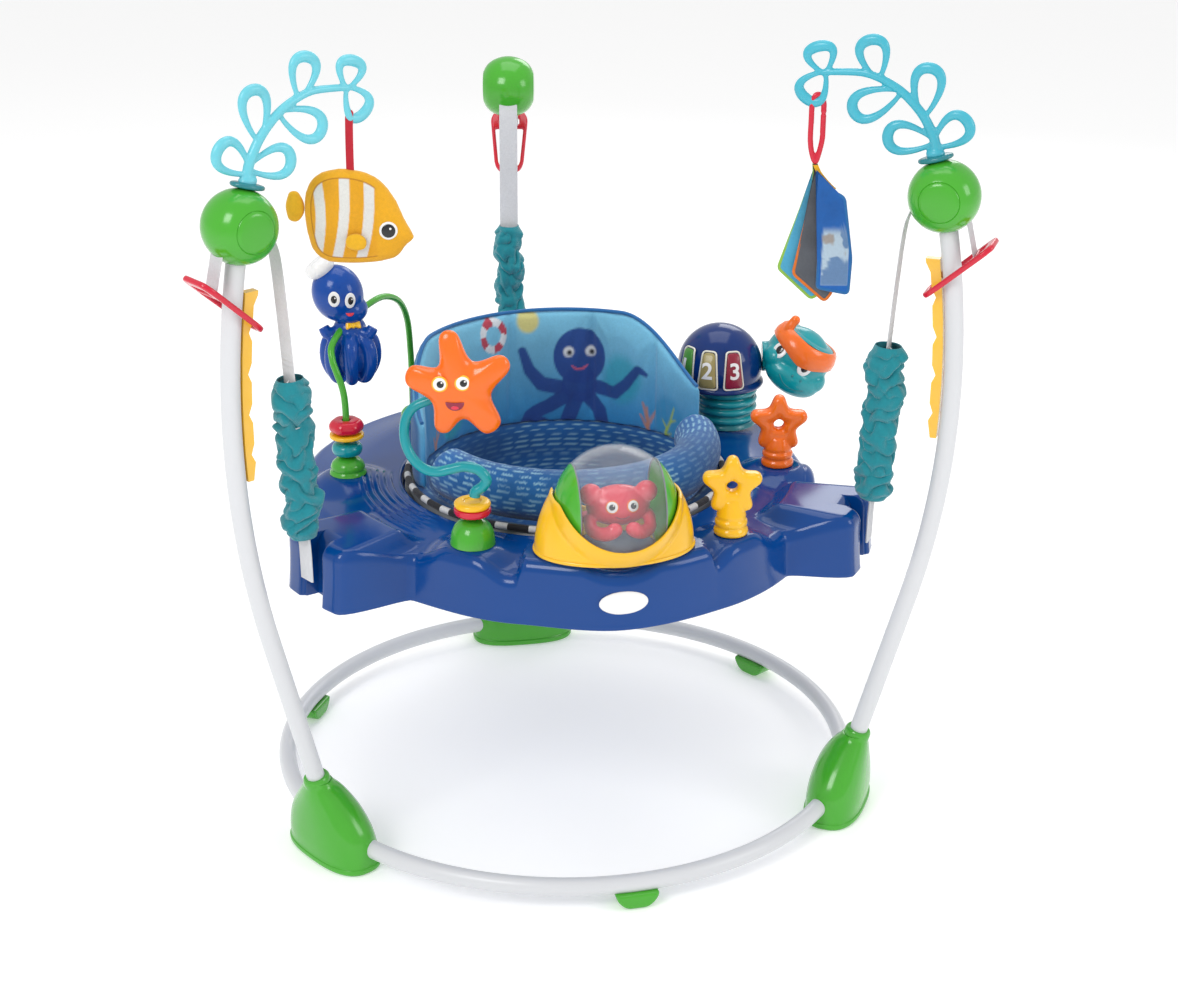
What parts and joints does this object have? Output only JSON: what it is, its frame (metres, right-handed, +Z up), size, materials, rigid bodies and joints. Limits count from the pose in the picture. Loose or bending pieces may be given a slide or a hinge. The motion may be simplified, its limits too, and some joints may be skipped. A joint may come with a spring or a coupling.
{
  "type": "baby activity jumper",
  "caption": "Free-standing baby bouncer seat: a swivelling fabric seat in a round toy tray, hung on sprung straps from bowed posts that stand on a floor ring.",
  "frame": {"origin": "centre of the bounding box, on the floor that the feet stand on", "axes": "+Z up; the child at rest faces -Y; +X to the viewer's right when facing the front"},
  "size_m": [0.9148, 0.9029, 0.971],
  "materials": {
    "painted_tube": "smooth white paint on steel tube",
    "green_plastic": "polished moulded plastic",
    "blue_plastic": "polished moulded plastic",
    "yellow_plastic": "polished moulded plastic",
    "red_plastic": "polished moulded plastic",
    "orange_plastic": "polished moulded plastic",
    "teal_plastic": "polished moulded plastic",
    "aqua_plastic": "satin flexible plastic",
    "grey_plastic": "satin moulded plastic",
    "clear_plastic": "clear polished plastic",
    "spring_steel": "drawn spring wire",
    "webbing": "woven polyester webbing",
    "sleeve_cloth": "gathered plain-weave cloth",
    "seat_cloth": "padded plain-weave cloth",
    "printed_cloth": "padded cloth with a printed ocean pattern",
    "toy_cloth": "stuffed knitted cloth"
  },
  "bodies": {
    "frame": {"leg_tube_left": "painted_tube", "leg_tube_right": "painted_tube", "leg_tube_rear": "painted_tube", "base_tube_front": "painted_tube", "base_tube_left": "painted_tube", "base_tube_right": "painted_tube", "foot_left": "green_plastic", "foot_right": "green_plastic", "foot_rear": "green_plastic", "pad_foot_front": "green_plastic", "pad_foot_left": "green_plastic", "pad_foot_right": "green_plastic", "pod_left": "green_plastic", "pod_right": "green_plastic", "pod_rear": "green_plastic", "height_rack_left": "yellow_plastic", "height_rack_right": "yellow_plastic", "height_rack_rear": "yellow_plastic", "seaweed_left": "aqua_plastic", "seaweed_right": "teal_plastic", "strap_left": "webbing", "strap_right": "webbing", "strap_rear": "webbing"},
    "ring_left": {"adjuster_ring_left": "red_plastic"},
    "ring_right": {"adjuster_ring_right": "red_plastic"},
    "ring_rear": {"adjuster_ring_rear": "red_plastic"},
    "height_carriage": {"spring_left": "spring_steel", "spring_right": "spring_steel", "spring_rear": "spring_steel", "spring_sleeve_left": "sleeve_cloth", "spring_sleeve_right": "sleeve_cloth", "spring_sleeve_rear": "sleeve_cloth"},
    "tray": {"tray": "blue_plastic", "seat_track": "grey_plastic", "lower_strap_left": "webbing", "lower_strap_right": "webbing", "lower_strap_rear": "webbing", "dome_housing": "yellow_plastic", "arch_bar": "green_plastic", "stalk_base": "green_plastic", "turtle_body": "blue_plastic", "turtle_head": "teal_plastic"},
    "seat": {"seat_ring": "grey_plastic", "seat_sling": "seat_cloth", "seat_back": "printed_cloth", "seat_bolster": "seat_cloth"},
    "ball": {"dome_ball": "clear_plastic"},
    "yellow_star": {"yellow_star": "yellow_plastic"},
    "orange_star": {"orange_star": "orange_plastic"},
    "octopus": {"octopus": "blue_plastic"},
    "bead_red": {"bead_red": "red_plastic"},
    "bead_teal": {"bead_teal": "teal_plastic"},
    "stalk": {"stalk_arm": "teal_plastic"},
    "starfish": {"starfish": "orange_plastic"},
    "key_1": {"number_button_1": "green_plastic"},
    "key_2": {"number_button_2": "yellow_plastic"},
    "key_3": {"number_button_3": "red_plastic"},
    "fish": {"fish": "toy_cloth"},
    "link": {"toy_link": "red_plastic"},
    "cards": {"card_pack": "printed_cloth"}
  },
  "joints": [
    {"name": "height_adjust", "type": "slide", "parent": "frame", "child": "height_carriage", "axis": [0, 0, 1], "range_m": [0, 0.139], "deforming": ["strap_left", "strap_right", "strap_rear"]},
    {"name": "ring_rear_slide", "type": "slide", "parent": "frame", "child": "ring_rear", "axis": [0.007, 0.0418, -0.9991], "range_m": [0, 0.14]},
    {"name": "ring_right_slide", "type": "slide", "parent": "frame", "child": "ring_right", "axis": [0.0367, -0.0212, -0.9991], "range_m": [0, 0.14]},
    {"name": "ring_left_slide", "type": "slide", "parent": "frame", "child": "ring_left", "axis": [-0.0367, -0.0212, -0.9991], "range_m": [0, 0.14]},
    {"name": "bounce", "type": "slide", "parent": "height_carriage", "child": "tray", "axis": [0, 0, 1], "range_m": [-0.08, 0], "stiffness_N_per_m": 1200, "springref_m": 0.06, "deforming": ["spring_left", "spring_right", "spring_rear", "spring_sleeve_left", "spring_sleeve_right", "spring_sleeve_rear"]},
    {"name": "seat_swivel", "type": "hinge", "parent": "tray", "child": "seat", "pos_m": [0, -0.0677, 0.39], "axis": [0, 0, 1], "continuous": true},
    {"name": "dome_spin", "type": "hinge", "parent": "tray", "child": "ball", "pos_m": [0.008, -0.3457, 0.4715], "axis": [1, 0, 0], "continuous": true},
    {"name": "yellow_star_spin", "type": "hinge", "parent": "tray", "child": "yellow_star", "pos_m": [0.15186, -0.31358, 0.414], "axis": [0, 0, 1], "continuous": true},
    {"name": "orange_star_spin", "type": "hinge", "parent": "tray", "child": "orange_star", "pos_m": [0.26171, -0.11526, 0.416], "axis": [0, 0, 1], "continuous": true},
    {"name": "bead_teal_spin", "type": "hinge", "parent": "tray", "child": "bead_teal", "pos_m": [-0.2712, -0.04683, 0.4465], "axis": [0, 0, 1], "continuous": true},
    {"name": "bead_red_spin", "type": "hinge", "parent": "tray", "child": "bead_red", "pos_m": [-0.2712, -0.04683, 0.472], "axis": [0, 0, 1], "continuous": true},
    {"name": "octopus_swing", "type": "hinge", "parent": "tray", "child": "octopus", "pos_m": [-0.259, 0.0013, 0.596], "axis": [0.5665, 0.7032, 0.4297], "range_deg": [-20, 20]},
    {"name": "stalk_sway", "type": "hinge", "parent": "tray", "child": "stalk", "pos_m": [-0.14792, -0.29118, 0.472], "axis": [0.9826, -0.1857, 0], "range_deg": [-8, 12], "stiffness_Nm_per_rad": 1.5},
    {"name": "starfish_turn", "type": "hinge", "parent": "stalk", "child": "starfish", "pos_m": [-0.16096, -0.30093, 0.606], "axis": [-0.1857, -0.9826, 0], "range_deg": [-20, 20]},
    {"name": "key_1_press", "type": "slide", "parent": "tray", "child": "key_1", "axis": [0.8999, 0.4196, -0.1191], "range_m": [0, 0.003], "stiffness_N_per_m": 400},
    {"name": "key_2_press", "type": "slide", "parent": "tray", "child": "key_2", "axis": [0.4964, 0.8599, -0.1191], "range_m": [0, 0.003], "stiffness_N_per_m": 400},
    {"name": "key_3_press", "type": "slide", "parent": "tray", "child": "key_3", "axis": [-0.0865, 0.9891, -0.1191], "range_m": [0, 0.003], "stiffness_N_per_m": 400},
    {"name": "fish_swing", "type": "hinge", "parent": "frame", "child": "fish", "pos_m": [-0.2676, -0.2222, 0.899], "axis": [0.9826, -0.1857, 0], "range_deg": [-10, 25]},
    {"name": "link_swing", "type": "hinge", "parent": "frame", "child": "link", "pos_m": [0.26241, -0.2192, 0.899], "axis": [0.866, -0.5, 0], "range_deg": [-15, 15]},
    {"name": "cards_swing", "type": "hinge", "parent": "link", "child": "cards", "pos_m": [0.26241, -0.2192, 0.8205], "axis": [0.9826, -0.1857, 0], "range_deg": [-15, 15]}
  ],
  "couplings": [
    {"joint": "ring_left_slide", "follows": "height_adjust", "ratio": 1},
    {"joint": "ring_right_slide", "follows": "height_adjust", "ratio": 1},
    {"joint": "ring_rear_slide", "follows": "height_adjust", "ratio": 1}
  ]
}
